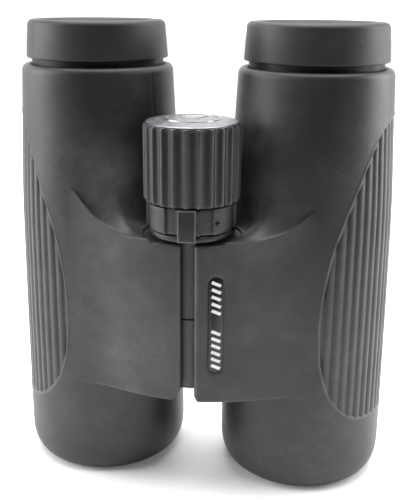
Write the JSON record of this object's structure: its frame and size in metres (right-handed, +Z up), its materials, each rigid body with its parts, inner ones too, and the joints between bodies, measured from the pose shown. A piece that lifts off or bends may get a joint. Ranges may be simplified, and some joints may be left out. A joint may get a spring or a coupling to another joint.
{
  "type": "binoculars",
  "caption": "Roof-prism binoculars with smooth rubber armour, folding front bridge, centre focus knob, diopter ring and twist-up eyecups.",
  "frame": {"origin": "middle of the footprint, on the surface that the objective rims stand on", "axes": "+Z up along both barrel axes to the eyecups; -Y is the bridge and focus knob side; +X is towards the right barrel as seen from -Y"},
  "size_m": [0.1218, 0.0652, 0.145],
  "materials": {
    "armour": "matt moulded rubber armour",
    "eyecup_rubber": "smooth matt rubber",
    "knob_rubber": "matt moulded rubber",
    "seal_rubber": "smooth rubber",
    "alloy": "cast and machined",
    "black_alloy": "matt black anodised",
    "steel": "turned",
    "brass": "turned",
    "cap_metal": "satin silver",
    "hard_plastic": "matt dark grey",
    "bearing_plastic": "plain",
    "label_plastic": "satin black with white marks",
    "lens_glass": "coated optical glass"
  },
  "bodies": {
    "left_barrel": {"left_barrel_tube": "alloy", "left_armour": "armour", "left_objective_cell": "black_alloy", "left_crown_lens": "lens_glass", "left_flint_lens": "lens_glass", "left_objective_retainer": "black_alloy", "left_objective_seal": "seal_rubber", "left_prism_cage": "black_alloy", "left_half_pentaprism": "lens_glass", "left_roof_prism": "lens_glass", "left_prism_clip": "steel", "left_eyepiece_tube": "black_alloy", "left_field_lens": "lens_glass", "left_eyepiece_spacer": "black_alloy", "left_eye_lens": "lens_glass", "left_eyepiece_retainer": "black_alloy", "hinge_axle": "steel", "hinge_washer": "bearing_plastic", "hinge_post": "black_alloy", "hinge_collar": "hard_plastic", "index_tab": "hard_plastic", "thrust_washer": "bearing_plastic"},
    "right_barrel": {"right_barrel_tube": "alloy", "right_armour": "armour", "right_objective_cell": "black_alloy", "right_crown_lens": "lens_glass", "right_flint_lens": "lens_glass", "right_objective_retainer": "black_alloy", "right_objective_seal": "seal_rubber", "right_prism_cage": "black_alloy", "right_half_pentaprism": "lens_glass", "right_roof_prism": "lens_glass", "right_prism_clip": "steel", "right_eyepiece_tube": "black_alloy", "right_field_lens": "lens_glass", "right_eyepiece_spacer": "black_alloy", "right_eye_lens": "lens_glass", "right_eyepiece_retainer": "black_alloy", "hinge_end_cap": "hard_plastic", "rating_label": "label_plastic"},
    "focus_knob": {"knob_grip": "knob_rubber", "knob_core": "black_alloy", "knob_cap": "cap_metal", "knob_screw": "steel", "focus_screw": "steel"},
    "focus_carriage": {"focus_spool": "brass", "left_focus_arm": "steel", "left_focus_cell": "black_alloy", "left_focus_lens": "lens_glass"},
    "right_focus_follower": {"right_focus_arm": "steel"},
    "right_focus_carrier": {"right_focus_cell": "black_alloy", "right_focus_lens": "lens_glass"},
    "diopter_dial": {"diopter_ring": "hard_plastic"},
    "left_eyecup_lift": {"left_eyecup_guide": "hard_plastic"},
    "left_eyecup": {"left_eyecup_sleeve": "hard_plastic", "left_eyecup_rubber": "eyecup_rubber"},
    "right_eyecup_lift": {"right_eyecup_guide": "hard_plastic"},
    "right_eyecup": {"right_eyecup_sleeve": "hard_plastic", "right_eyecup_rubber": "eyecup_rubber"}
  },
  "joints": [
    {"name": "bridge_hinge", "type": "hinge", "parent": "left_barrel", "child": "right_barrel", "pos_m": [0, -0.01798, 0.06], "axis": [0, 0, 1], "range_deg": [-16.4, 25]},
    {"name": "focus_knob_turn", "type": "hinge", "parent": "left_barrel", "child": "focus_knob", "pos_m": [0, -0.01798, 0.105], "axis": [0, 0, 1], "range_deg": [-270, 270]},
    {"name": "focus_carriage_slide", "type": "slide", "parent": "left_barrel", "child": "focus_carriage", "axis": [0, 0, 1], "range_m": [-0.003, 0.003]},
    {"name": "right_focus_slide", "type": "slide", "parent": "right_barrel", "child": "right_focus_follower", "axis": [0, 0, 1], "range_m": [-0.003, 0.003]},
    {"name": "diopter_turn", "type": "hinge", "parent": "left_barrel", "child": "diopter_dial", "pos_m": [0, -0.01798, 0.091], "axis": [0, 0, 1], "range_deg": [-40, 40]},
    {"name": "right_diopter_slide", "type": "slide", "parent": "right_focus_follower", "child": "right_focus_carrier", "axis": [0, 0, 1], "range_m": [-0.0007, 0.0007]},
    {"name": "left_eyecup_rise", "type": "slide", "parent": "left_barrel", "child": "left_eyecup_lift", "axis": [0, 0, 1], "range_m": [0, 0.007]},
    {"name": "left_eyecup_twist", "type": "hinge", "parent": "left_eyecup_lift", "child": "left_eyecup", "pos_m": [-0.034, 0.00573, 0.135], "axis": [0, 0, 1], "range_deg": [0, 120]},
    {"name": "right_eyecup_rise", "type": "slide", "parent": "right_barrel", "child": "right_eyecup_lift", "axis": [0, 0, 1], "range_m": [0, 0.007]},
    {"name": "right_eyecup_twist", "type": "hinge", "parent": "right_eyecup_lift", "child": "right_eyecup", "pos_m": [0.034, 0.00573, 0.135], "axis": [0, 0, 1], "range_deg": [0, 120]}
  ],
  "couplings": [
    {"joint": "focus_carriage_slide", "follows": "focus_knob_turn", "m_per_rad": 0.0006366},
    {"joint": "right_focus_slide", "follows": "focus_knob_turn", "m_per_rad": 0.0006366},
    {"joint": "right_diopter_slide", "follows": "diopter_turn", "m_per_rad": 0.001},
    {"joint": "left_eyecup_rise", "follows": "left_eyecup_twist", "m_per_rad": 0.003342},
    {"joint": "right_eyecup_rise", "follows": "right_eyecup_twist", "m_per_rad": 0.003342}
  ]
}
